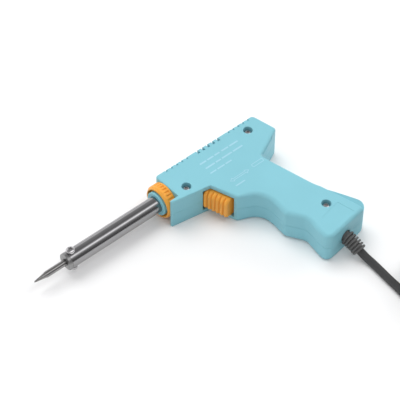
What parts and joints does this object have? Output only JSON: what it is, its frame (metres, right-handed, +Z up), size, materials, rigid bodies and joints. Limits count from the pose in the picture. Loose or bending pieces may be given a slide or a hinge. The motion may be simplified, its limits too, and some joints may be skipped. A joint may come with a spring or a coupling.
{
  "type": "gun-type soldering iron",
  "caption": "Pistol-shaped mains soldering iron: light blue two-part grip, orange trigger and collar nut, steel barrel with a pencil tip, ribbed strain relief and coiled cord.",
  "frame": {"origin": "centre of the iron's footprint on the table, without its free cord, with the iron lying on its right side", "axes": "+X from the tip towards the housing's rear end, +Y from the grip's butt towards the housing's top edge, +Z up from the table, out of the side with the screw heads"},
  "size_m": [0.3059, 0.2709, 0.028],
  "materials": {
    "shell_blue": "moulded light blue plastic with a satin skin",
    "accent_orange": "moulded orange plastic, satin",
    "polished_steel": "polished steel with fine lengthwise marks",
    "screw_steel": "zinc-plated steel, slightly dulled",
    "tip_metal": "plated soldering tip, tinned and a little stained at its point",
    "heating_wire": "oxidised resistance wire",
    "ceramic": "fired white ceramic; matte_plastic stands in for it",
    "mica": "mica sheet; matte_plastic stands in for it",
    "black_plastic": "black moulded plastic",
    "brass": "plain brass",
    "plug_pin_metal": "nickel-plated brass",
    "cream_plastic": "cream moulded plastic",
    "cord_rubber": "dark grey flexible rubber, matte",
    "relief_rubber": "mid-grey flexible rubber, matte",
    "holder_steel": "turned steel, dull grey",
    "lead_brown": "brown flexible insulation",
    "lead_blue": "blue flexible insulation",
    "glass_braid": "woven glass-fibre sleeve, off-white"
  },
  "bodies": {
    "housing": {"left_shell": "shell_blue", "right_shell": "shell_blue", "strain_relief": "relief_rubber", "tip_holder": "holder_steel", "trigger_spring": "polished_steel", "barrel_tube": "polished_steel", "power_cord": "cord_rubber", "heater_winding": "heating_wire", "terminal_block": "cream_plastic", "cord_coil": "cord_rubber", "heater_lead_neutral": "glass_braid", "housing_screw_front": "screw_steel", "housing_screw_rear": "screw_steel", "housing_screw_handle": "screw_steel", "inner_cord": "cord_rubber", "heater_lead_live": "glass_braid", "barrel_flange": "screw_steel", "clamp_screw_front": "polished_steel", "clamp_screw_rear": "polished_steel", "plug_pin_left": "plug_pin_metal", "plug_pin_right": "plug_pin_metal", "terminal_screw_live_in": "brass", "terminal_screw_live_out": "brass", "terminal_screw_neutral_in": "brass", "terminal_screw_neutral_out": "brass", "lead_live": "lead_brown", "lead_neutral": "lead_blue", "lead_switch": "lead_brown", "boost_diode": "black_plastic", "lead_bush": "ceramic", "heater_core": "ceramic", "mica_sleeve": "mica", "plug_pin_sleeve_left": "black_plastic", "plug_pin_sleeve_right": "black_plastic", "cord_clamp": "cream_plastic", "cord_tail": "cord_rubber", "plug_body": "cord_rubber", "switch_body": "black_plastic", "trigger_pin": "polished_steel", "cord_tie": "black_plastic", "switch_terminal_upper": "brass", "switch_terminal_lower": "brass"},
    "trigger": {"trigger": "accent_orange"},
    "plunger": {"switch_plunger": "accent_orange"},
    "collar": {"collar_nut": "accent_orange"},
    "tip": {"soldering_tip": "tip_metal"},
    "tip_screw_upper": {"tip_screw_upper": "screw_steel"},
    "tip_screw_lower": {"tip_screw_lower": "screw_steel"}
  },
  "joints": [
    {"name": "trigger_pivot", "type": "hinge", "parent": "housing", "child": "trigger", "pos_m": [0.04192, 0.04473, 0.014], "axis": [0, 0, 1], "range_deg": [0, 11], "stiffness_Nm_per_rad": 0.17, "springref_deg": -12.61, "deforming": ["trigger_spring"]},
    {"name": "plunger_slide", "type": "slide", "parent": "housing", "child": "plunger", "axis": [1, 0, 0], "range_m": [0, 0.0026]},
    {"name": "collar_turn", "type": "hinge", "parent": "housing", "child": "collar", "pos_m": [0.00692, 0.06173, 0.014], "axis": [1, 0, 0], "continuous": true},
    {"name": "tip_slide", "type": "slide", "parent": "housing", "child": "tip", "axis": [-1, 0, 0], "range_m": [0, 0.03]},
    {"name": "tip_screw_upper_turn", "type": "hinge", "parent": "housing", "child": "tip_screw_upper", "pos_m": [-0.08258, 0.06173, 0.014], "axis": [0, 0.1045, 0.9945], "continuous": true},
    {"name": "tip_screw_lower_turn", "type": "hinge", "parent": "housing", "child": "tip_screw_lower", "pos_m": [-0.08258, 0.06173, 0.014], "axis": [0, -0.1045, -0.9945], "continuous": true}
  ],
  "couplings": [
    {"joint": "plunger_slide", "follows": "trigger_pivot", "m_per_rad": 0.0125}
  ]
}
